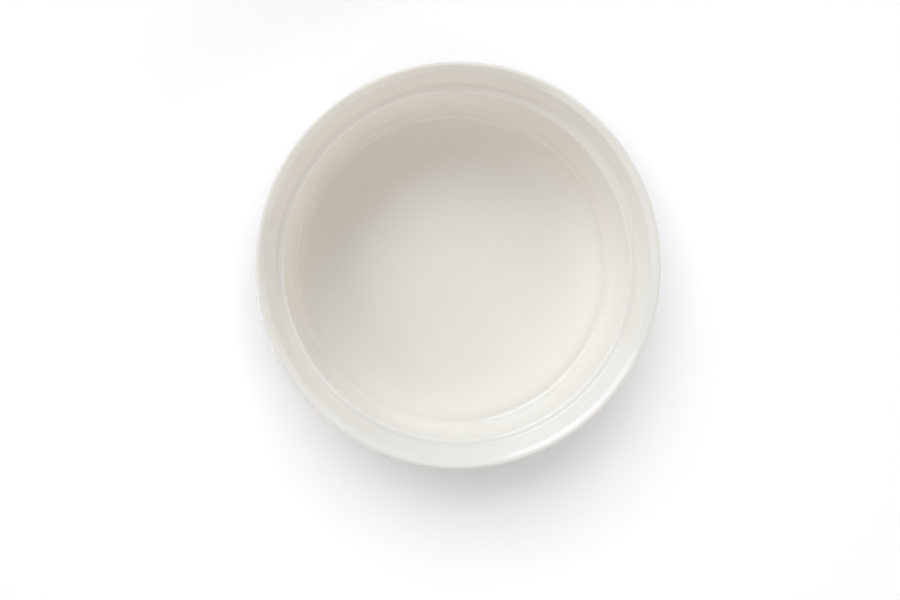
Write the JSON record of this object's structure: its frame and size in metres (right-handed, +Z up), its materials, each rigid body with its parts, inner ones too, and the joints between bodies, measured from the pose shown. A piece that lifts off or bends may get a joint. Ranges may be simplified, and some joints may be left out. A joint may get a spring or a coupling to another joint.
{
  "type": "evaporating dish",
  "caption": "Round glazed porcelain evaporating dish with a flat floor, steep wall, inner ledge under a rounded rim, and a bare foot ring.",
  "frame": {"origin": "on the dish's axis, in the plane that the foot ring stands on", "axes": "+Z up along the dish's axis; X and Y are any two level directions, because the dish is round"},
  "size_m": [0.12, 0.12, 0.036],
  "materials": {
    "biscuit": "matt, unglazed porcelain, slightly rough on the foot",
    "glaze": "glossy ivory white glaze"
  },
  "bodies": {
    "root": {"porcelain_body": "biscuit", "glaze_coat": "glaze"}
  },
  "joints": []
}
